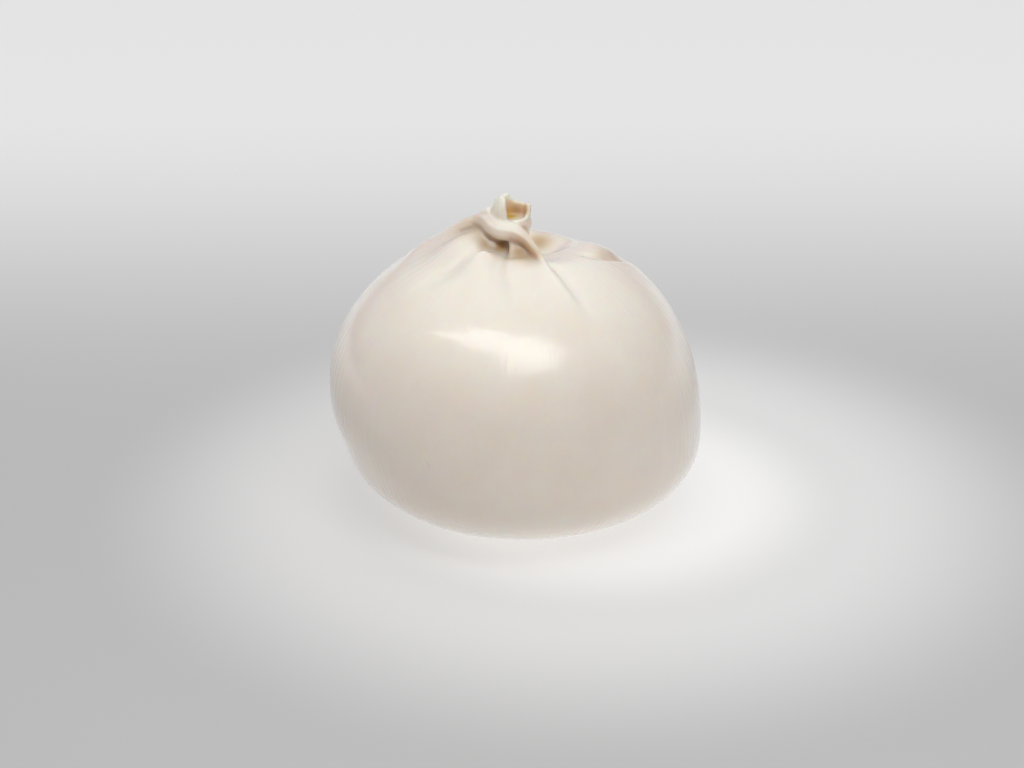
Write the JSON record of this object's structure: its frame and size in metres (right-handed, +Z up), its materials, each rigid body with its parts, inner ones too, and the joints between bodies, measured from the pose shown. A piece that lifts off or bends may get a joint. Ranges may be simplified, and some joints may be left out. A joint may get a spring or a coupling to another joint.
{
  "type": "burrata",
  "caption": "Whole fresh burrata cheese: a soft, rounded pouch resting on its base, its skin gathered in folds and tied into a small knot with an open tail on top.",
  "frame": {"origin": "centre of the bounding box in X and Y, on the plane the cheese rests on", "axes": "+Z is up through the knot; -Y is the front, where the fold that crosses the neck shows; +X is to the right seen from the front"},
  "size_m": [0.0828, 0.0818, 0.0728],
  "materials": {
    "fresh_cheese": "moist, glossy stretched-curd skin, cream white, a little see-through and golden in the deep folds"
  },
  "bodies": {
    "root": {"burrata": "fresh_cheese"}
  },
  "joints": []
}
